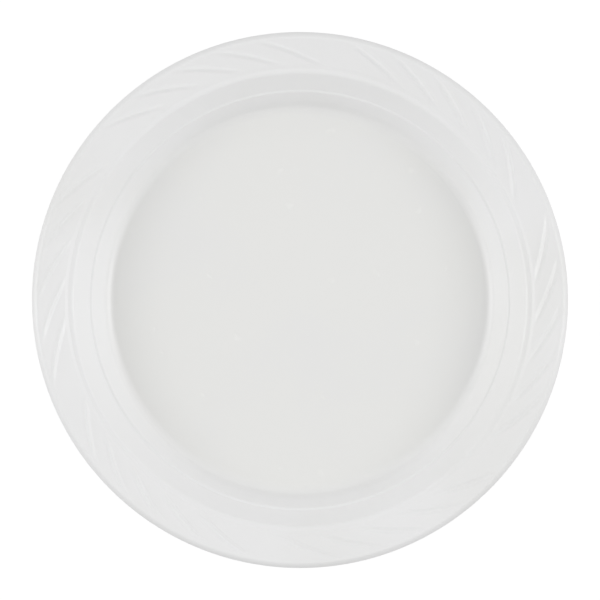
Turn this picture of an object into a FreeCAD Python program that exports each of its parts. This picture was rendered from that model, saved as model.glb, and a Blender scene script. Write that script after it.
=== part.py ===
"""Disposable plastic plate, formed from one sheet: flat floor, coved wall, ledge, riser, swirl rim and lip.

Millimetres, +Z up. The origin is the centre of the floor's under face, where the plate rests.
"""
import FreeCAD, Part
import math
import os

import Sketcher

NODE = "plate"
FULL_TURN = 360.0

# Driving sizes: name, value, what it is. Runs are widths and rises are heights, both of the top face.
DRIVING = [
    ("plate_radius", 114.3, "outside of the lip"),
    ("plate_height", 21.8, "rest face to the corner between the rim and the lip"),
    ("sheet", 0.45, "thickness of the formed sheet"),
    ("foot_bend", 3.8, "bend between the floor and the wall"),
    ("wall_run", 7.9, "lower wall; its rise is what the height leaves"),
    ("step_run", 1.3, "small stacking step in the wall"),
    ("step_rise", 0.45, ""),
    ("shoulder_run", 7.2, "upper wall, up to the ledge"),
    ("shoulder_rise", 7.1, ""),
    ("shoulder_bend", 1.7, "bend between the upper wall and the ledge"),
    ("ledge_run", 1.5, "flat ledge round the mouth of the well"),
    ("riser_run", 1.3, "short riser from the ledge to the rim"),
    ("riser_rise", 1.0, ""),
    ("rim_run", 12.1, "rim, from the riser to the lip"),
    ("rim_rise", 3.8, ""),
    ("lip_bend", 1.5, "bend between the rim and the lip"),
    ("lip_run", 1.2, "turned-down lip"),
    ("lip_drop", 0.75, ""),
    ("hem_run", 0.6, "steeper hem at the edge of the lip"),
    ("hem_drop", 1.1, ""),
    ("group_count", 6, "groups of pressed ribs round the rim"),
    ("rib_count", 5, "ribs in a group"),
    ("rib_pitch", 10.0, "angle between neighbouring ribs, degrees"),
    ("rib_turn", 12.5, "angle a rib travels round the rim, degrees"),
    ("first_rib_angle", 31.8, "middle of the first rib, degrees"),
    ("rib_width", 2.2, "across a rib at its middle"),
    ("rib_height", 0.3, "a rib's crest above the rim"),
    ("rib_sink", 0.34, "how far a rib's crest dips from its middle to each end"),
    ("rib_root", 0.08, "how far a rib's flanks run on into the sheet at its middle"),
    ("rib_inner_gap", 1.0, "riser corner to the inner end of a rib"),
    ("rib_outer_gap", 1.4, "lip corner to the outer end of a rib"),
]

# Sizes worked out from the driving ones, as sheet formulas.
DERIVED = [
    ("hem_radius", "plate_radius - hem_run"),
    ("rim_end_radius", "hem_radius - lip_run"),
    ("rim_start_radius", "rim_end_radius - rim_run"),
    ("ledge_end_radius", "rim_start_radius - riser_run"),
    ("ledge_start_radius", "ledge_end_radius - ledge_run"),
    ("shoulder_start_radius", "ledge_start_radius - shoulder_run"),
    ("step_start_radius", "shoulder_start_radius - step_run"),
    ("floor_radius", "step_start_radius - wall_run"),
    ("rim_start_level", "plate_height - rim_rise"),
    ("ledge_level", "rim_start_level - riser_rise"),
    ("shoulder_start_level", "ledge_level - shoulder_rise"),
    ("step_start_level", "shoulder_start_level - step_rise"),
    ("hem_level", "plate_height - lip_drop"),
    ("edge_level", "hem_level - hem_drop"),
    ("rib_inner_radius", "rim_start_radius + rib_inner_gap"),
    ("rib_outer_radius", "rim_end_radius - rib_outer_gap"),
    ("rib_rise", "(rib_outer_radius - rib_inner_radius) * rim_rise / rim_run"),
    ("rib_advance", "(rib_outer_radius - rib_inner_radius) * cos(rib_turn * 0.5 deg)"),
    ("rib_reach", "(rib_outer_radius + rib_inner_radius) * sin(rib_turn * 0.5 deg)"),
    ("rib_plan_length", "sqrt(rib_advance ^ 2 + rib_reach ^ 2)"),
    ("rib_length", "sqrt(rib_plan_length ^ 2 + rib_rise ^ 2)"),
    ("rib_lean", "atan(rib_advance / rib_reach) / 1 deg"),
    ("rib_climb", "atan(rib_rise / rib_plan_length) / 1 deg"),
    ("rib_bow", "rib_plan_length * tan(rib_turn * 0.25 deg) / 2"),
    ("rib_roll", "atan(rib_sink / rib_bow) / 1 deg"),
    ("rib_sagitta", "sqrt(rib_bow ^ 2 + rib_sink ^ 2)"),
    ("rib_bend", "rib_sagitta / 2 + rib_length ^ 2 / rib_sagitta / 8"),
    ("rib_cross_slope", "atan(rim_rise / rim_run * cos(rib_lean * 1 deg)) / 1 deg"),
    ("rib_mid_level", "plate_height - rim_rise * (rib_outer_gap + rim_run - rib_inner_gap) / rim_run / 2"),
    ("rib_depth", "rib_height + rib_root"),
    ("rib_base", "rib_width * rib_depth / rib_height"),
    ("rib_chord_out", "(rib_outer_radius + rib_inner_radius) / 2 * cos(rib_turn * 0.5 deg)"),
    ("rib_chord_aside", "(rib_outer_radius - rib_inner_radius) / 2 * sin(rib_turn * 0.5 deg)"),
]

# The top face's corners from the axis outwards: radius, level, and bend or None where the corner is sharp.
TOP_CORNERS = [
    ("floor_radius", "sheet", "foot_bend"),
    ("step_start_radius", "step_start_level", None),
    ("shoulder_start_radius", "shoulder_start_level", None),
    ("ledge_start_radius", "ledge_level", "shoulder_bend"),
    ("ledge_end_radius", "ledge_level", None),
    ("rim_start_radius", "rim_start_level", None),
    ("rim_end_radius", "plate_height", "lip_bend"),
    ("hem_radius", "hem_level", None),
    ("plate_radius", "edge_level", None),
]


def make_sizes(doc):
    """Put the driving sizes and the formulas that follow from them in a spreadsheet."""
    sizes = doc.addObject("Spreadsheet::Sheet", "Sizes")
    rows = [(name, str(value), note) for name, value, note in DRIVING]
    rows += [(name, "=" + formula, "worked out") for name, formula in DERIVED]
    for row, (name, content, note) in enumerate(rows, start=1):
        sizes.set(f"A{row}", name)
        sizes.set(f"B{row}", content)
        sizes.set(f"C{row}", note)
        sizes.setAlias(f"B{row}", name)
    doc.recompute()
    return sizes


def origin_plane(body, role):
    """The body's own origin plane or axis with this role."""
    return next(feature for feature in body.Origin.OriginFeatures if feature.Role == role)


def bend_between(before, corner, after, radius):
    """Centre, first tangent point, last tangent point and turn of a bend of this radius at a corner."""
    arriving = (corner - before).normalize()
    leaving = (after - corner).normalize()
    turn = math.atan2(arriving.x * leaving.y - arriving.y * leaving.x, arriving.dot(leaving))
    setback = radius * math.tan(abs(turn) / 2)
    first = corner - arriving * setback
    last = corner + leaving * setback
    side = math.copysign(1.0, turn)
    centre = first + FreeCAD.Vector(-arriving.y, arriving.x, 0) * radius * side
    return centre, first, last, turn


def hollow_upwards(before, corner, after):
    """Whether the top face's line turns upwards at a corner, so that its bend is hollow on top."""
    arriving = corner - before
    leaving = after - corner
    return arriving.x * leaving.y - arriving.y * leaving.x > 0


def offset_corners(points, distance):
    """The corners of the line that runs this far to the right of the given one."""
    shifted = []
    for start, end in zip(points, points[1:]):
        along = (end - start).normalize()
        aside = FreeCAD.Vector(along.y, -along.x, 0) * distance
        shifted.append((start + aside, end + aside, along))
    corners = [shifted[0][0]]
    for (_, end, along), (start, _, ahead) in zip(shifted, shifted[1:]):
        cross = along.x * ahead.y - along.y * ahead.x
        gap = start - end
        corners.append(end + along * ((gap.x * ahead.y - gap.y * ahead.x) / cross))
    corners.append(shifted[-1][1])
    return corners


def add_bent_line(sketch, points, radii):
    """Draw straight runs from point to point, with a tangent arc at each inner corner that has a radius.

    It returns the runs' and the arcs' geometry numbers; a sharp corner's arc is None.
    """
    bends = [bend_between(*points[i : i + 3], radius) for i, radius in enumerate(radii)]
    starts = [points[0]] + [bend[2] for bend in bends]
    ends = [bend[1] for bend in bends] + [points[-1]]
    runs = [sketch.addGeometry(Part.LineSegment(start, end)) for start, end in zip(starts, ends)]
    arcs = []
    for number, ((centre, first, last, turn), radius) in enumerate(zip(bends, radii)):
        arriving, leaving = runs[number], runs[number + 1]
        if not radius:
            arcs.append(None)
            sketch.addConstraint(Sketcher.Constraint("Coincident", arriving, 2, leaving, 1))
            continue
        opening = (first if turn > 0 else last) - centre
        angle = math.atan2(opening.y, opening.x)
        circle = Part.Circle(centre, FreeCAD.Vector(0, 0, 1), radius)
        arc = sketch.addGeometry(Part.ArcOfCircle(circle, angle, angle + abs(turn)))
        arriving_end, leaving_end = (1, 2) if turn > 0 else (2, 1)
        sketch.addConstraint(Sketcher.Constraint("Tangent", arriving, 2, arc, arriving_end))
        sketch.addConstraint(Sketcher.Constraint("Tangent", arc, leaving_end, leaving, 1))
        arcs.append(arc)
    return runs, arcs


def bind(sketch, constraint, expression):
    """Add a dimension to a sketch and tie it to an expression on the sizes."""
    index = sketch.addConstraint(constraint)
    sketch.setExpression(f"Constraints[{index}]", expression)


def sheet_section(body, sizes):
    """Half the sheet's section: the top face's line, the under face's line one sheet below, and the trim."""
    sketch = body.newObject("Sketcher::SketchObject", "sheet_section")
    sketch.AttachmentSupport = [(origin_plane(body, "XZ_Plane"), "")]
    sketch.MapMode = "FlatFace"
    sheet = sizes.get("sheet")
    top = [FreeCAD.Vector(0, sheet, 0)]
    top += [FreeCAD.Vector(sizes.get(radius), sizes.get(level), 0) for radius, level, _ in TOP_CORNERS]
    under = offset_corners(top, sheet)
    bends = [bend for _, _, bend in TOP_CORNERS[:-1]]
    signs = [1 if hollow_upwards(*top[i : i + 3]) else -1 for i in range(len(bends))]
    top_radii = [sizes.get(bend) if bend else 0 for bend in bends]
    under_radii = [radius + sign * sheet if radius else 0 for radius, sign in zip(top_radii, signs)]
    top_runs, top_arcs = add_bent_line(sketch, top, top_radii)
    under_runs, under_arcs = add_bent_line(sketch, under, under_radii)
    trim = sketch.addGeometry(Part.LineSegment(top[-1], under[-1]))
    axis = sketch.addGeometry(Part.LineSegment(under[0], top[0]))

    sketch.addConstraint(Sketcher.Constraint("Coincident", top_runs[-1], 2, trim, 1))
    sketch.addConstraint(Sketcher.Constraint("Coincident", trim, 2, under_runs[-1], 2))
    sketch.addConstraint(Sketcher.Constraint("Coincident", under_runs[0], 1, axis, 1))
    sketch.addConstraint(Sketcher.Constraint("Coincident", axis, 2, top_runs[0], 1))
    sketch.addConstraint(Sketcher.Constraint("Perpendicular", top_runs[-1], trim))
    sketch.addConstraint(Sketcher.Constraint("PointOnObject", top_runs[0], 1, -2))
    sketch.addConstraint(Sketcher.Constraint("PointOnObject", under_runs[0], 1, -2))
    bind(sketch, Sketcher.Constraint("DistanceY", -1, 1, top_runs[0], 1, sheet), "Sizes.sheet")
    for number, (radius, level, bend) in enumerate(TOP_CORNERS):
        place = top[number + 1]
        held, end = top_runs[number], 2
        if bend:
            held, end = sketch.addGeometry(Part.Point(place), True), 1
            sketch.addConstraint(Sketcher.Constraint("PointOnObject", held, 1, top_runs[number]))
            sketch.addConstraint(Sketcher.Constraint("PointOnObject", held, 1, top_runs[number + 1]))
        bind(sketch, Sketcher.Constraint("DistanceX", -1, 1, held, end, place.x), f"Sizes.{radius}")
        bind(sketch, Sketcher.Constraint("DistanceY", -1, 1, held, end, place.y), f"Sizes.{level}")
    for number, (bend, sign) in enumerate(zip(bends, signs)):
        if bend:
            top_radius = Sketcher.Constraint("Radius", top_arcs[number], top_radii[number])
            under_radius = Sketcher.Constraint("Radius", under_arcs[number], under_radii[number])
            bind(sketch, top_radius, f"Sizes.{bend}")
            bind(sketch, under_radius, f"Sizes.{bend} + {sign} * Sizes.sheet")
    for top_run, under_run in zip(top_runs, under_runs):
        sketch.addConstraint(Sketcher.Constraint("Parallel", top_run, under_run))
        bind(sketch, Sketcher.Constraint("Distance", under_run, 2, top_run, sheet), "Sizes.sheet")
    return sketch


def revolve_sheet(body, section):
    """The plain plate, turned from its section."""
    turned = body.newObject("PartDesign::Revolution", "turned_sheet")
    turned.Profile = section
    turned.ReferenceAxis = (section, ["V_Axis"])
    turned.Angle = FULL_TURN
    body.Document.recompute()


def rib_path(body, sizes, name, drop):
    """The arc a rib's crown follows, on the rim's slope, dipping at both ends; drop lowers the whole arc."""
    sketch = body.newObject("Sketcher::SketchObject", name)
    sketch.AttachmentSupport = [(origin_plane(body, "XY_Plane"), "")]
    sketch.MapMode = "FlatFace"
    sketch.setExpression(
        "AttachmentOffset",
        "placement(vector(0; 0; 0); rotation(Sizes.first_rib_angle; 0; 0))"
        " * placement(vector(Sizes.rib_chord_out; Sizes.rib_chord_aside;"
        f" Sizes.rib_mid_level - Sizes.rib_sink + Sizes.rib_height - {drop});"
        " rotation(90 - Sizes.rib_lean; -Sizes.rib_climb; -Sizes.rib_roll))",
    )
    half = sizes.get("rib_length") / 2
    sagitta = sizes.get("rib_sagitta")
    middle = FreeCAD.Vector(0, -sagitta, 0)
    arc = sketch.addGeometry(Part.Arc(FreeCAD.Vector(-half, 0, 0), middle, FreeCAD.Vector(half, 0, 0)))
    sketch.addConstraint(Sketcher.Constraint("Symmetric", arc, 1, arc, 2, -1, 1))
    sketch.addConstraint(Sketcher.Constraint("PointOnObject", arc, 1, -1))
    bind(sketch, Sketcher.Constraint("DistanceX", arc, 1, arc, 2, 2 * half), "Sizes.rib_length")
    bind(sketch, Sketcher.Constraint("Radius", arc, sizes.get("rib_bend")), "Sizes.rib_bend")
    return sketch


def rib_section(body, sizes, name, path):
    """A rib's section, square to its path: two flanks from the crest down to a base inside the sheet."""
    sketch = body.newObject("Sketcher::SketchObject", name)
    sketch.AttachmentSupport = [(path, "Edge1")]
    sketch.MapMode = "FrenetNB"
    sketch.setExpression(
        "AttachmentOffset",
        "placement(vector(0; 0; 0); rotation(Sizes.rib_cross_slope - Sizes.rib_roll; 0; 0))",
    )
    half = sizes.get("rib_base") / 2
    low = sizes.get("rib_depth")
    crest, left, right = FreeCAD.Vector(), FreeCAD.Vector(-half, -low, 0), FreeCAD.Vector(half, -low, 0)
    left_flank = sketch.addGeometry(Part.LineSegment(crest, left))
    base = sketch.addGeometry(Part.LineSegment(left, right))
    right_flank = sketch.addGeometry(Part.LineSegment(right, crest))
    sketch.addConstraint(Sketcher.Constraint("Coincident", left_flank, 2, base, 1))
    sketch.addConstraint(Sketcher.Constraint("Coincident", base, 2, right_flank, 1))
    sketch.addConstraint(Sketcher.Constraint("Coincident", right_flank, 2, left_flank, 1))
    sketch.addConstraint(Sketcher.Constraint("Coincident", left_flank, 1, -1, 1))
    sketch.addConstraint(Sketcher.Constraint("Symmetric", base, 1, base, 2, -2))
    bind(sketch, Sketcher.Constraint("DistanceX", base, 1, base, 2, 2 * half), "Sizes.rib_base")
    bind(sketch, Sketcher.Constraint("DistanceY", base, 1, -1, 1, low), "Sizes.rib_depth")
    return sketch


def sweep_rib(body, sizes, kind, name, drop):
    """Sweep a rib's section along its path, as a feature of this kind."""
    path = rib_path(body, sizes, f"{name}_path", drop)
    body.Document.recompute()
    rib = body.newObject(kind, f"rib_{name}")
    rib.Profile = rib_section(body, sizes, f"{name}_section", path)
    rib.Spine = path
    rib.Refine = False
    body.Document.recompute()
    return rib


def press_ribs(body, sizes):
    """One pressed rib, raised above the sheet and hollow beneath, copied into the groups round the rim."""
    crown = sweep_rib(body, sizes, "PartDesign::AdditivePipe", "crown", "0")
    hollow = sweep_rib(body, sizes, "PartDesign::SubtractivePipe", "hollow", "Sizes.sheet")
    swirl = body.newObject("PartDesign::MultiTransform", "swirl")
    swirl.Originals = [crown, hollow]
    swirl.Refine = False
    group = body.newObject("PartDesign::PolarPattern", "rib_group")
    round_rim = body.newObject("PartDesign::PolarPattern", "groups_round_rim")
    for pattern in (group, round_rim):
        pattern.Axis = (origin_plane(body, "Z_Axis"), [""])
    group.setExpression("Occurrences", "Sizes.rib_count")
    group.setExpression("Angle", "Sizes.rib_pitch * (Sizes.rib_count - 1)")
    round_rim.setExpression("Occurrences", "Sizes.group_count")
    round_rim.Angle = FULL_TURN
    swirl.Transformations = [group, round_rim]
    body.Tip = swirl


def check(doc, shape):
    """Stop if anything in the document failed to build or the plate isn't one sound solid."""
    for thing in doc.Objects:
        if "Invalid" in thing.State or "Error" in thing.State:
            raise RuntimeError(f"{thing.Name} did not build: {thing.State}")
    if shape.isNull() or not shape.isValid() or len(shape.Solids) != 1:
        raise RuntimeError("the plate is not one sound solid")


def main():
    """Build the plate, check it and write it."""
    doc = FreeCAD.newDocument("Plate")
    sizes = make_sizes(doc)
    plate = doc.addObject("PartDesign::Body", NODE)
    plate.Label = NODE
    plate.Placement = FreeCAD.Placement()
    revolve_sheet(plate, sheet_section(plate, sizes))
    press_ribs(plate, sizes)
    doc.recompute()
    check(doc, plate.Shape)
    os.makedirs("parts", exist_ok=True)
    plate.Shape.exportStep(f"parts/{NODE}.step")


main()
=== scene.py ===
"""Disposable plastic plate, laid out as an add-on: one formed sheet with ribs in its rim."""
import math

import bpy
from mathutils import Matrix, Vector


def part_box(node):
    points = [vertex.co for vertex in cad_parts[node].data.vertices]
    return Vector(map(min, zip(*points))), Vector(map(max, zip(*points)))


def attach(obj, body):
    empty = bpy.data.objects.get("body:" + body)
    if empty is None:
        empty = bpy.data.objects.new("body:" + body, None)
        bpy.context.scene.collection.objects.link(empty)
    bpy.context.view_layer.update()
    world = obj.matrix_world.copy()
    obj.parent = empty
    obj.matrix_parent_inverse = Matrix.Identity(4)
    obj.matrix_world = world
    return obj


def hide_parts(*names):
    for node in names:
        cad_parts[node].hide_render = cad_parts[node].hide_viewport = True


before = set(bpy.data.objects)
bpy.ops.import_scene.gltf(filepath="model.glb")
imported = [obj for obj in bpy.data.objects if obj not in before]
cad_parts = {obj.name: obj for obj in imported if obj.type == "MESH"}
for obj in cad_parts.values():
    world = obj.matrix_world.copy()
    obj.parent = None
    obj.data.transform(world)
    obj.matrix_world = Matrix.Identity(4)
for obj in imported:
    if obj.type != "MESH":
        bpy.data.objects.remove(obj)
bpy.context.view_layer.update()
PLATE_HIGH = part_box("plate")[1]

bl_info = {
    "name": "Disposable plate",
    "version": (1, 0, 0),
    "blender": (4, 5, 0),
    "location": "3D View > Sidebar > Plate",
    "description": "Builds a thermoformed plastic plate and the stage it is shown on",
    "category": "Add Mesh",
}

MM = 0.001
NEAR = 0.02 * MM  # two points closer than this are the same point of the section
SAME = 0.001 * MM  # vertices closer than this are merged
SMOOTH_ANGLE = math.radians(40)  # sharper edges, which are those of the trimmed hem, stay crisp

# The floor is a small disc of triangles and then rings, given as shares of the floor's radius.
HUB = 1 / 8
FLOOR_RINGS = (0.4, 0.7, 0.9)

# Settings of a Map Range node that fades a value in and out softly.
SMOOTHLY = {"interpolation_type": "SMOOTHSTEP"}

# A rib's height follows half a sine wave along its run, to this power so that it stays full.
RIB_FADE = 0.4


def length(name, description, default_mm):
    """A size in metres whose default is given in millimetres."""
    return bpy.props.FloatProperty(
        name=name, description=description, default=default_mm * MM, precision=5, unit="LENGTH"
    )


def angle(name, description, default_degrees):
    """An angle whose default is given in degrees."""
    return bpy.props.FloatProperty(
        name=name, description=description, default=math.radians(default_degrees), subtype="ANGLE"
    )


def linear(code):
    """The linear RGBA colour of an sRGB hex value."""
    channels = [int(code[i : i + 2], 16) / 255 for i in (1, 3, 5)]
    curve = [c / 12.92 if c <= 0.04045 else ((c + 0.055) / 1.055) ** 2.4 for c in channels]
    return (*curve, 1.0)


def colour(name, description, code):
    """A colour whose default is an sRGB hex value."""
    return bpy.props.FloatVectorProperty(
        name=name,
        description=description,
        default=linear(code),
        size=4,
        subtype="COLOR",
        min=0.0,
        max=1.0,
    )


def number(name, description, default, unit="NONE"):
    """A number that is neither a size nor an angle."""
    return bpy.props.FloatProperty(name=name, description=description, default=default, unit=unit)


def count(name, description, default):
    """A whole number."""
    return bpy.props.IntProperty(name=name, description=description, default=default)


class SheetSizes(bpy.types.PropertyGroup):
    """Sizes of the formed sheet.

    Radii and levels are those of the top face's corners before they are rounded.
    """

    around: count("Steps around", "Faces round the plate; 20 to each rib's pitch", 720)
    thickness: length("Thickness", "Thickness of the formed sheet", 0.45)
    foot_radius: length("Foot radius", "Edge of the flat floor", 82.4)
    foot_bend: length("Foot bend", "Bend between the floor and the wall", 5.0)
    knee_radius: length("Knee radius", "Where the steep foot of the wall leans back", 85.3)
    knee_level: length("Knee level", "Height of the knee", 4.9)
    knee_bend: length("Knee bend", "Soft bend at the knee", 8.0)
    step_radius: length("Step radius", "Start of the small stacking step", 89.15)
    step_level: length("Step level", "Height where the stacking step starts", 9.8)
    tread_radius: length("Tread radius", "End of the small stacking step", 90.1)
    tread_level: length("Tread level", "Height where the stacking step ends", 10.05)
    step_bend: length("Step bend", "Bends at both ends of the step", 0.8)
    shoulder_radius: length("Shoulder radius", "Top of the wall", 97.0)
    ledge_level: length("Ledge level", "Height of the flat ledge round the well", 17.25)
    shoulder_bend: length("Shoulder bend", "Bend between the wall and the ledge", 2.0)
    ledge_radius: length("Ledge radius", "Outside of the ledge", 99.0)
    riser_radius: length("Riser radius", "Top of the short riser, where the rim starts", 100.3)
    riser_level: length("Riser level", "Height where the rim starts", 17.85)
    riser_bend: length("Riser bend", "Bends at both ends of the riser", 0.9)
    rim_radius: length("Rim radius", "Where the rim meets the lip", 112.1)
    rim_level: length("Rim level", "Height where the rim meets the lip", 21.7)
    lip_bend: length("Lip bend", "Bend between the rim and the lip", 1.3)
    hem_radius: length("Hem radius", "Where the lip steepens to its hem", 113.4)
    hem_level: length("Hem level", "Height where the hem starts", 20.85)
    hem_bend: length("Hem bend", "Bend between the lip and its hem", 0.8)
    edge_radius: length("Edge radius", "Trimmed edge of the hem", PLATE_HIGH.x / MM)
    edge_level: length("Edge level", "Height of the trimmed edge", 19.95)


class SwirlSizes(bpy.types.PropertyGroup):
    """Sizes of the ribs pressed into the rim."""

    groups: count("Groups", "Groups of ribs round the rim", 6)
    ribs: count("Ribs", "Ribs in a group", 5)
    first: angle("First rib", "Inner end of the first rib", 25.0)
    pitch: angle("Pitch", "Angle between neighbouring ribs", 10.0)
    turn: angle("Turn", "How far a rib travels round the rim", 13.4)
    steps: count("Steps", "Rings of faces across the rim", 12)
    height: length("Height", "A rib's crest above the rim", 0.64)
    width: length("Width", "A rib's width, square to its run", 3.0)
    inner_gap: length("Inner gap", "Riser to the inner end of a rib", 0.4)
    outer_gap: length("Outer gap", "Outer end of a rib to the lip", 0.9)


class PlateColours(bpy.types.PropertyGroup):
    """Colours of the plate and of what it stands on."""

    polystyrene: colour("Polystyrene", "White high-impact polystyrene as extruded", "#EAEAE8")
    drawn: colour("Drawn polystyrene", "The same sheet where forming has stretched it", "#ECECEC")
    cloudy: colour("Cloudy polystyrene", "Its faint darker clouds", "#E9E9E8")
    # The nicks' lighter colour is a painted highlight; their dents come from the bump.
    painted_nick_highlight: colour("Scuffed polystyrene", "Its small nicks, whitened by stress", "#EDEDEB")
    table: colour("Table", "Grey studio table", "#9C9C9C")


class StageLight(bpy.types.PropertyGroup):
    """Strengths, places and sizes of what lights, carries and shows the plate."""

    tent: number("Tent", "Even glow of the tent", 0.015)
    sides: number("Sides", "Extra glow of its left and right sides", 1.53)
    hem: number("Hem", "Sine of the angle up to which its sides dim towards the table", 0.1)
    near_end: number("Near end", "Extra glow of its near end", 0.02)
    far_end: number("Far end", "Extra glow high in its far end", 0.35)
    softbox: number("Softbox", "Power of each softbox", 22.4, unit="POWER")
    softbox_size: length("Softbox size", "Side of each square softbox", 1400)
    softbox_aside: length("Softbox aside", "Each softbox to the left or right of the plate", 2660)
    softbox_level: length("Softbox level", "Each softbox above the table", 1800)
    table_size: length("Table size", "Side of the square table", 6000)
    camera_height: length("Camera height", "Camera above the table", 2152)


def pick_ring(sheet, radius, level):
    """In edit mode, select only the edges of the ring of this radius and level about the Z axis."""
    bpy.ops.mesh.select_mode(type="EDGE")
    bpy.ops.mesh.select_all(action="DESELECT")
    bpy.ops.object.mode_set(mode="OBJECT")
    mesh = sheet.data
    on_ring = [
        abs(vertex.co.xy.length - radius) < NEAR and abs(vertex.co.z - level) < NEAR
        for vertex in mesh.vertices
    ]
    for edge in mesh.edges:
        edge.select = all(on_ring[end] for end in edge.vertices)
    bpy.ops.object.mode_set(mode="EDIT")


def draw_out(start, end, turn=0.0):
    """Extrude the selected ring from one radius and level to the next, turning it anticlockwise."""
    (radius, level), (new_radius, new_level) = start, end
    bpy.ops.mesh.extrude_edges_move(TRANSFORM_OT_translate={"value": (0, 0, new_level - level)})
    scale = new_radius / radius
    bpy.ops.transform.resize(value=(scale, scale, 1), center_override=(0, 0, new_level))
    if turn:
        # With no window, a rotation turns the other way.
        bpy.ops.transform.rotate(value=-turn, orient_axis="Z", center_override=(0, 0, new_level))


def between(start, end, radius):
    """The point of a straight run at this radius."""
    share = (radius - start[0]) / (end[0] - start[0])
    return (radius, start[1] + (end[1] - start[1]) * share)


def draw_rim(start, end, swirl):
    """Extrude the rim up to the ribs' outer ends, in columns of faces that turn as the ribs do."""
    inner, outer = start[0] + swirl.inner_gap, end[0] - swirl.outer_gap
    here = between(start, end, inner)
    draw_out(start, here)
    for step in range(1, swirl.steps + 1):
        there = between(start, end, inner + (outer - inner) * step / swirl.steps)
        draw_out(here, there, swirl.turn / swirl.steps)
        here = there
    return here


def round_corner(sheet, before, corner, after, radius, segments):
    """Bevel the ring at a corner of the section to a bend of this radius."""
    arriving = math.atan2(corner[1] - before[1], corner[0] - before[0])
    leaving = math.atan2(after[1] - corner[1], after[0] - corner[0])
    setback = radius * math.tan(abs(leaving - arriving) / 2)
    pick_ring(sheet, *corner)
    bpy.ops.mesh.bevel(
        offset=setback, offset_type="OFFSET", segments=segments, profile=0.5, affect="EDGES"
    )


def swell(distance, width):
    """The height, from 0 to 1, of a smooth ridge of this width at a distance from its middle."""
    if abs(distance) >= width / 2:
        return 0.0
    return 0.5 + 0.5 * math.cos(math.tau * distance / width)


def rib_share(point, inner, outer, swirl):
    """How much of the ribs' full height, from 0 to 1, a point of the rim takes."""
    along = (point.xy.length - inner) / (outer - inner)
    if not 0 < along < 1:
        return 0.0
    group = math.tau / swirl.groups
    run = (math.atan2(point.y, point.x) - swirl.first - swirl.turn * along) % group
    if run > group - swirl.pitch / 2:
        run -= group
    rib = min(round(run / swirl.pitch), swirl.ribs - 1)
    lean = math.atan2(outer - inner, swirl.turn * (outer + inner) / 2)
    aside = (run - rib * swirl.pitch) * point.xy.length * math.sin(lean)
    return math.sin(math.pi * along) ** RIB_FADE * swell(aside, swirl.width)


def section_corners(sizes):
    """The corners of the section's top face: radius, level, bend and the bend's segments."""
    return [
        (sizes.foot_radius, sizes.thickness, sizes.foot_bend, 8),
        (sizes.knee_radius, sizes.knee_level, sizes.knee_bend, 4),
        (sizes.step_radius, sizes.step_level, sizes.step_bend, 3),
        (sizes.tread_radius, sizes.tread_level, sizes.step_bend, 3),
        (sizes.shoulder_radius, sizes.ledge_level, sizes.shoulder_bend, 6),
        (sizes.ledge_radius, sizes.ledge_level, sizes.riser_bend, 4),
        (sizes.riser_radius, sizes.riser_level, sizes.riser_bend, 4),
        (sizes.rim_radius, sizes.rim_level, sizes.lip_bend, 6),
        (sizes.hem_radius, sizes.hem_level, sizes.hem_bend, 3),
        (sizes.edge_radius, sizes.edge_level, 0.0, 0),
    ]


def draw_sheet(sizes, swirl):
    """Draw the sheet's top face outwards, ring by ring, and round its corners."""
    here = (sizes.foot_radius * HUB, sizes.thickness)
    bpy.ops.object.select_all(action="DESELECT")
    bpy.ops.mesh.primitive_circle_add(vertices=sizes.around, radius=here[0], fill_type="TRIFAN")
    sheet = bpy.context.object
    sheet.name = sheet.data.name = "plate_sheet"
    bpy.ops.object.mode_set(mode="EDIT")
    bpy.ops.mesh.select_all(action="SELECT")
    bpy.ops.transform.translate(value=(0, 0, sizes.thickness))
    pick_ring(sheet, *here)
    for share in FLOOR_RINGS:
        there = (sizes.foot_radius * share, sizes.thickness)
        draw_out(here, there)
        here = there
    corners = section_corners(sizes)
    for radius, level, _, _ in corners:
        if radius == sizes.rim_radius:
            here = draw_rim(here, (radius, level), swirl)
        draw_out(here, (radius, level))
        here = (radius, level)
    places = [(0.0, sizes.thickness)] + [corner[:2] for corner in corners]
    for before, corner, after in zip(places, corners, places[2:]):
        round_corner(sheet, before, corner[:2], after, *corner[2:])
    bpy.ops.mesh.select_all(action="SELECT")
    bpy.ops.mesh.remove_doubles(threshold=SAME)
    bpy.ops.mesh.normals_make_consistent(inside=False)
    bpy.ops.object.mode_set(mode="OBJECT")
    # An open sheet has no outside, so its faces may have been turned down.
    if sheet.data.polygons[0].normal.z < 0:
        sheet.data.flip_normals()
    return sheet


def press_ribs(sheet, inner, outer, swirl):
    """Lift the rim into ribs between these radii."""
    ribs = sheet.vertex_groups.new(name="ribs")
    for vertex in sheet.data.vertices:
        share = rib_share(vertex.co, inner, outer, swirl)
        if share > 0:
            ribs.add([vertex.index], share, "REPLACE")
    lift = sheet.modifiers.new("lift", "DISPLACE")
    lift.direction = "Z"
    lift.mid_level = 0.0
    lift.strength = swirl.height
    lift.vertex_group = ribs.name
    bpy.ops.object.modifier_apply(modifier=lift.name)


def give_wall(sheet, thickness):
    """Thicken the sheet downwards, evenly all over."""
    wall = sheet.modifiers.new("wall", "SOLIDIFY")
    wall.thickness = thickness
    wall.offset = -1.0
    wall.use_even_offset = True
    bpy.ops.object.modifier_apply(modifier=wall.name)


def add_node(tree, kind, settings=None, links=None):
    """Add a node, set its settings and its inputs' values, and link its other inputs.

    An input goes by its name or its number. A link comes from another node's output, or from a
    node, which stands for its first output in use.
    """
    node = tree.nodes.new(kind)
    for name, value in (settings or {}).items():
        if isinstance(name, int) or name in node.inputs:
            node.inputs[name].default_value = value
        else:
            setattr(node, name, value)
    for name, source in (links or {}).items():
        if isinstance(source, bpy.types.Node):
            source = next(output for output in source.outputs if output.enabled)
        tree.links.new(source, node.inputs[name])
    return node


def new_material(name):
    """An empty node material and its tree."""
    material = bpy.data.materials.new(name)
    material.use_nodes = True
    material.node_tree.nodes.clear()
    return material, material.node_tree


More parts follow.
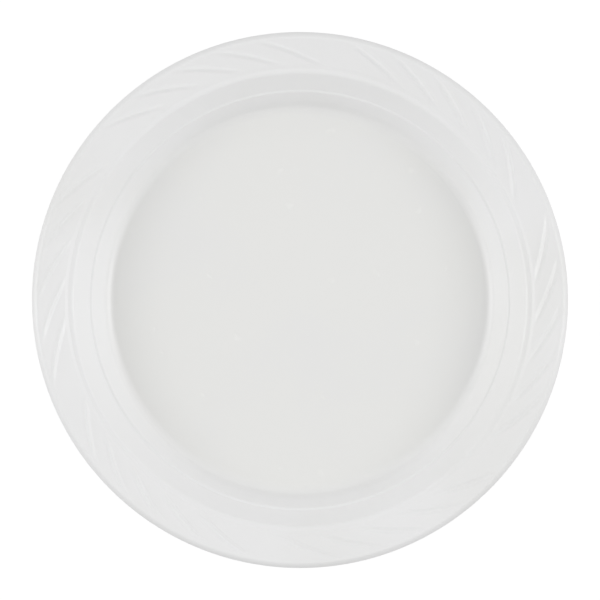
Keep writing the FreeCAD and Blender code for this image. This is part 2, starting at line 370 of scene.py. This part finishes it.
def from_axis(tree, place):
    """How far a place is from the plate's upright axis."""
    flat = add_node(
        tree, "ShaderNodeVectorMath", {"operation": "MULTIPLY", 1: (1.0, 1.0, 0.0)}, {0: place}
    )
    return add_node(tree, "ShaderNodeVectorMath", {"operation": "LENGTH"}, {0: flat})


def ragged_nicks(tree, place, spacing, size, share):
    """1 in the middle of sparse ragged nicks of this size, and 0 round them.

    They lie about this far apart, and this share of the places has one.
    """
    wander = add_node(
        tree, "ShaderNodeTexNoise", {"Scale": 1 / size, "Detail": 0.0}, {"Vector": place}
    )
    reach = 1.5 * size
    ragged = add_node(
        tree,
        "ShaderNodeVectorMath",
        {"operation": "MULTIPLY_ADD", 1: (reach, reach, 0.0)},
        {0: wander.outputs["Color"], 2: place},
    )
    cells = add_node(
        tree,
        "ShaderNodeTexVoronoi",
        {"voronoi_dimensions": "2D", "Scale": 1 / spacing},
        {"Vector": ragged},
    )
    chance = add_node(tree, "ShaderNodeSeparateColor", {}, {0: cells.outputs["Color"]})
    chosen = add_node(
        tree, "ShaderNodeMath", {"operation": "GREATER_THAN", 1: 1 - share}, {0: chance}
    )
    spot = add_node(
        tree,
        "ShaderNodeMapRange",
        {**SMOOTHLY, 1: size / spacing / 2, 2: 0.0},
        {0: cells.outputs["Distance"]},
    )
    return add_node(tree, "ShaderNodeMath", {"operation": "MULTIPLY"}, {0: chosen, 1: spot})


def floor_nicks(tree, place, radius, foot):
    """The nicks that stacking leaves in the floor: 1 in their middles, and 0 near the wall."""
    last, bare = 0.9 * foot, 0.95 * foot
    nicks = ragged_nicks(tree, place, spacing=18 * MM, size=3.5 * MM, share=0.36)
    on_floor = add_node(tree, "ShaderNodeMapRange", {**SMOOTHLY, 1: bare, 2: last}, {0: radius})
    return add_node(tree, "ShaderNodeMath", {"operation": "MULTIPLY"}, {0: nicks, 1: on_floor})


def sheet_colour(tree, place, radius, nicks, colours, foot):
    """Slightly cream on the floor and white beyond it, with faint clouds, and the nicks drawn
    lighter as a painted highlight.
    """
    half_blend, cloud_size, cloud_start, cloud_full = 4 * MM, 60 * MM, 0.45, 0.75
    drawn = add_node(
        tree,
        "ShaderNodeMapRange",
        {**SMOOTHLY, 1: foot - half_blend, 2: foot + half_blend},
        {0: radius},
    )
    plain = add_node(
        tree,
        "ShaderNodeMix",
        {"data_type": "RGBA", 6: colours.polystyrene, 7: colours.drawn},
        {0: drawn},
    )
    lumps = add_node(
        tree, "ShaderNodeTexNoise", {"Scale": 1 / cloud_size, "Detail": 2.0}, {"Vector": place}
    )
    clouds = add_node(
        tree, "ShaderNodeMapRange", {**SMOOTHLY, 1: cloud_start, 2: cloud_full}, {0: lumps}
    )
    clouded = add_node(
        tree, "ShaderNodeMix", {"data_type": "RGBA", 7: colours.cloudy}, {0: clouds, 6: plain}
    )
    # Nicks drawn lighter: a painted highlight of their glints.
    return add_node(
        tree, "ShaderNodeMix", {"data_type": "RGBA", 7: colours.painted_nick_highlight}, {0: nicks, 6: clouded}
    )


def sheet_roughness(tree, place):
    """Satin, a little glossier in some patches than in others."""
    patch_size, glossiest, dullest = 25 * MM, 0.33, 0.40
    patches = add_node(
        tree, "ShaderNodeTexNoise", {"Scale": 1 / patch_size, "Detail": 2.0}, {"Vector": place}
    )
    return add_node(
        tree,
        "ShaderNodeMapRange",
        {**SMOOTHLY, 1: 0.3, 2: 0.7, 3: glossiest, 4: dullest},
        {0: patches},
    )


def sheet_relief(tree, place, nicks):
    """Soft waves, orange peel and the nicks' depth, each bending the last one's normal.

    The orange peel is drawn at twice its real grain of half a millimetre, so that it shows.
    """
    wave_size, peel_size = 8 * MM, 1.1 * MM
    waves = add_node(
        tree, "ShaderNodeTexNoise", {"Scale": 1 / wave_size, "Detail": 0.0}, {"Vector": place}
    )
    waved = add_node(
        tree, "ShaderNodeBump", {"Distance": 0.03 * MM, "Strength": 0.5}, {"Height": waves}
    )
    peel = add_node(
        tree, "ShaderNodeTexNoise", {"Scale": 1 / peel_size, "Detail": 2.0}, {"Vector": place}
    )
    peeled = add_node(
        tree,
        "ShaderNodeBump",
        {"Distance": 0.02 * MM, "Strength": 0.05},
        {"Height": peel, "Normal": waved},
    )
    return add_node(
        tree,
        "ShaderNodeBump",
        {"Distance": -0.1 * MM, "Strength": 1.0},
        {"Height": nicks, "Normal": peeled},
    )


def thermoformed_polystyrene(colours, foot):
    """White high-impact polystyrene sheet, vacuum formed.

    It gives the eye a satin white with a faint orange peel from the warm mould and long soft
    waves. The floor, inside the foot's radius, keeps the sheet's slight cream, and the drawn
    wall and rim are a cleaner white.
    """
    material, tree = new_material("thermoformed_polystyrene")
    place = add_node(tree, "ShaderNodeTexCoord").outputs["Object"]
    radius = from_axis(tree, place)
    nicks = floor_nicks(tree, place, radius, foot)
    shader = add_node(
        tree,
        "ShaderNodeBsdfPrincipled",
        {"IOR": 1.59},
        {
            "Base Color": sheet_colour(tree, place, radius, nicks, colours, foot),
            "Roughness": sheet_roughness(tree, place),
            "Normal": sheet_relief(tree, place, nicks),
        },
    )
    add_node(tree, "ShaderNodeOutputMaterial", {}, {"Surface": shader})
    return material


class PLATE_OT_form_sheet(bpy.types.Operator):
    """Form the plate from one sheet, with its swirl ribs"""

    bl_idname = "plate.form_sheet"
    bl_label = "Form the sheet"

    def execute(self, context):
        scene = context.scene
        sizes, swirl = scene.sheet_sizes, scene.swirl_sizes
        sheet = draw_sheet(sizes, swirl)
        inner = sizes.riser_radius + swirl.inner_gap
        outer = sizes.rim_radius - swirl.outer_gap
        press_ribs(sheet, inner, outer, swirl)
        give_wall(sheet, sizes.thickness)
        bpy.ops.object.shade_smooth_by_angle(angle=SMOOTH_ANGLE)
        material = thermoformed_polystyrene(scene.plate_colours, sizes.foot_radius)
        sheet.data.materials.append(material)
        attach(sheet, "root")
        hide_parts("plate")
        return {"FINISHED"}


def soft_lamp(name, place, size, power):
    """A square soft lamp that faces the plate."""
    bpy.ops.object.light_add(type="AREA", location=place)
    lamp = bpy.context.object
    lamp.name = name
    lamp.data.size = size
    lamp.data.energy = power
    lamp.rotation_euler = lamp.location.to_track_quat("Z", "Y").to_euler()


def seen_directly(tree):
    """1 for rays from the camera, a mirror or clear material, and 0 for rays that carry light."""
    path = add_node(tree, "ShaderNodeLightPath").outputs
    mirrored = add_node(
        tree,
        "ShaderNodeMath",
        {"operation": "MAXIMUM"},
        {0: path["Is Glossy Ray"], 1: path["Is Transmission Ray"]},
    )
    return add_node(
        tree, "ShaderNodeMath", {"operation": "MAXIMUM"}, {0: path["Is Camera Ray"], 1: mirrored}
    )


def matt_laminate(colours):
    """Grey matt laminate, which bounces a little soft light under the rim.

    It gives the eye a plain white: most of what it shows is a glow, and the rest is the laminate
    with the plate's faint shadow.
    """
    glow, glow_share = 1.36, 0.7
    material, tree = new_material("matt_laminate")
    matt = add_node(tree, "ShaderNodeBsdfDiffuse", {"Color": colours.table})
    white = add_node(tree, "ShaderNodeEmission", {"Strength": glow})
    share = add_node(
        tree, "ShaderNodeMath", {"operation": "MULTIPLY", 1: glow_share}, {0: seen_directly(tree)}
    )
    mix = add_node(tree, "ShaderNodeMixShader", {}, {0: share, 1: matt, 2: white})
    add_node(tree, "ShaderNodeOutputMaterial", {}, {"Surface": mix})
    return material


def tent_glow(tree, light):
    """How bright the tent is in each direction.

    It has an even glow, a far end that is brighter higher up, a near end, and sides that dim
    towards the table.
    """
    way = add_node(tree, "ShaderNodeTexCoord").outputs["Generated"]
    x, y, z = add_node(tree, "ShaderNodeSeparateXYZ", {}, {0: way}).outputs
    away = add_node(tree, "ShaderNodeMath", {"operation": "MAXIMUM", 1: 0.0}, {0: y})
    far = add_node(tree, "ShaderNodeMath", {"operation": "MULTIPLY"}, {0: away, 1: z})
    closer = add_node(
        tree, "ShaderNodeMath", {"operation": "MULTIPLY", 1: -light.near_end}, {0: y}
    )
    near = add_node(tree, "ShaderNodeMath", {"operation": "MAXIMUM", 1: 0.0}, {0: closer})
    ends = add_node(
        tree, "ShaderNodeMath", {"operation": "MULTIPLY_ADD", 1: light.far_end}, {0: far, 2: near}
    )
    even = add_node(tree, "ShaderNodeMath", {"operation": "ADD", 1: light.tent}, {0: ends})
    aside = add_node(tree, "ShaderNodeMath", {"operation": "ABSOLUTE"}, {0: x})
    above_hem = add_node(tree, "ShaderNodeMapRange", {**SMOOTHLY, 1: 0.0, 2: light.hem}, {0: z})
    side = add_node(tree, "ShaderNodeMath", {"operation": "MULTIPLY"}, {0: aside, 1: above_hem})
    return add_node(
        tree, "ShaderNodeMath", {"operation": "MULTIPLY_ADD", 1: light.sides}, {0: side, 2: even}
    )


def light_tent(world, light):
    """A white tent of cloth round the table, which shows as plain white."""
    world.use_nodes = True
    tree = world.node_tree
    tree.nodes.clear()
    cloth = {"Color": (1.0, 1.0, 1.0, 1.0)}
    glow = tent_glow(tree, light)
    tent = add_node(tree, "ShaderNodeBackground", cloth, {"Strength": glow})
    white = add_node(tree, "ShaderNodeBackground", {**cloth, "Strength": 1.0})
    seen = seen_directly(tree)
    mix = add_node(tree, "ShaderNodeMixShader", {}, {0: seen, 1: tent, 2: white})
    add_node(tree, "ShaderNodeOutputWorld", {}, {"Surface": mix})


class PLATE_OT_set_stage(bpy.types.Operator):
    """Set the table, the soft light and the camera over the plate"""

    bl_idname = "plate.set_stage"
    bl_label = "Set the stage"

    def execute(self, context):
        scene = context.scene
        light = scene.stage_light
        bpy.ops.object.select_all(action="DESELECT")
        bpy.ops.mesh.primitive_plane_add(size=light.table_size)
        table = context.object
        table.name = "studio_table"
        table.data.materials.append(matt_laminate(scene.plate_colours))
        for name, aside in (("left", -light.softbox_aside), ("right", light.softbox_aside)):
            place = (aside, 0.0, light.softbox_level)
            soft_lamp(f"{name}_softbox", place, light.softbox_size, light.softbox)
        scene.world = scene.world or bpy.data.worlds.new("studio")
        light_tent(scene.world, light)
        bpy.ops.object.camera_add(location=(0, 0, light.camera_height), rotation=(0, 0, 0))
        camera = context.object
        camera.data.lens = 300.0
        camera.data.sensor_width = 36.0
        camera.data.clip_end = 20.0
        scene.camera = camera
        scene.view_settings.view_transform = "Standard"
        return {"FINISHED"}


class PLATE_PT_panel(bpy.types.Panel):
    """Lists the steps that build the plate"""

    bl_idname = "PLATE_PT_panel"
    bl_label = "Disposable plate"
    bl_space_type = "VIEW_3D"
    bl_region_type = "UI"
    bl_category = "Plate"

    def draw(self, context):
        for operator in OPERATORS:
            self.layout.operator(operator.bl_idname)
        scene = context.scene
        for group in (scene.sheet_sizes, scene.swirl_sizes, scene.plate_colours, scene.stage_light):
            for name in group.__annotations__:
                self.layout.prop(group, name)


OPERATORS = (PLATE_OT_form_sheet, PLATE_OT_set_stage)
CLASSES = (SheetSizes, SwirlSizes, PlateColours, StageLight, *OPERATORS, PLATE_PT_panel)


def register():
    """Register the classes and hang the settings on the scene."""
    for cls in CLASSES:
        bpy.utils.register_class(cls)
    bpy.types.Scene.sheet_sizes = bpy.props.PointerProperty(type=SheetSizes)
    bpy.types.Scene.swirl_sizes = bpy.props.PointerProperty(type=SwirlSizes)
    bpy.types.Scene.plate_colours = bpy.props.PointerProperty(type=PlateColours)
    bpy.types.Scene.stage_light = bpy.props.PointerProperty(type=StageLight)


def unregister():
    """Undo register."""
    del bpy.types.Scene.stage_light
    del bpy.types.Scene.plate_colours
    del bpy.types.Scene.swirl_sizes
    del bpy.types.Scene.sheet_sizes
    for cls in reversed(CLASSES):
        bpy.utils.unregister_class(cls)


def main():
    """Build the plate and its stage."""
    register()
    bpy.ops.plate.form_sheet()
    bpy.ops.plate.set_stage()


if __name__ == "__main__":
    main()
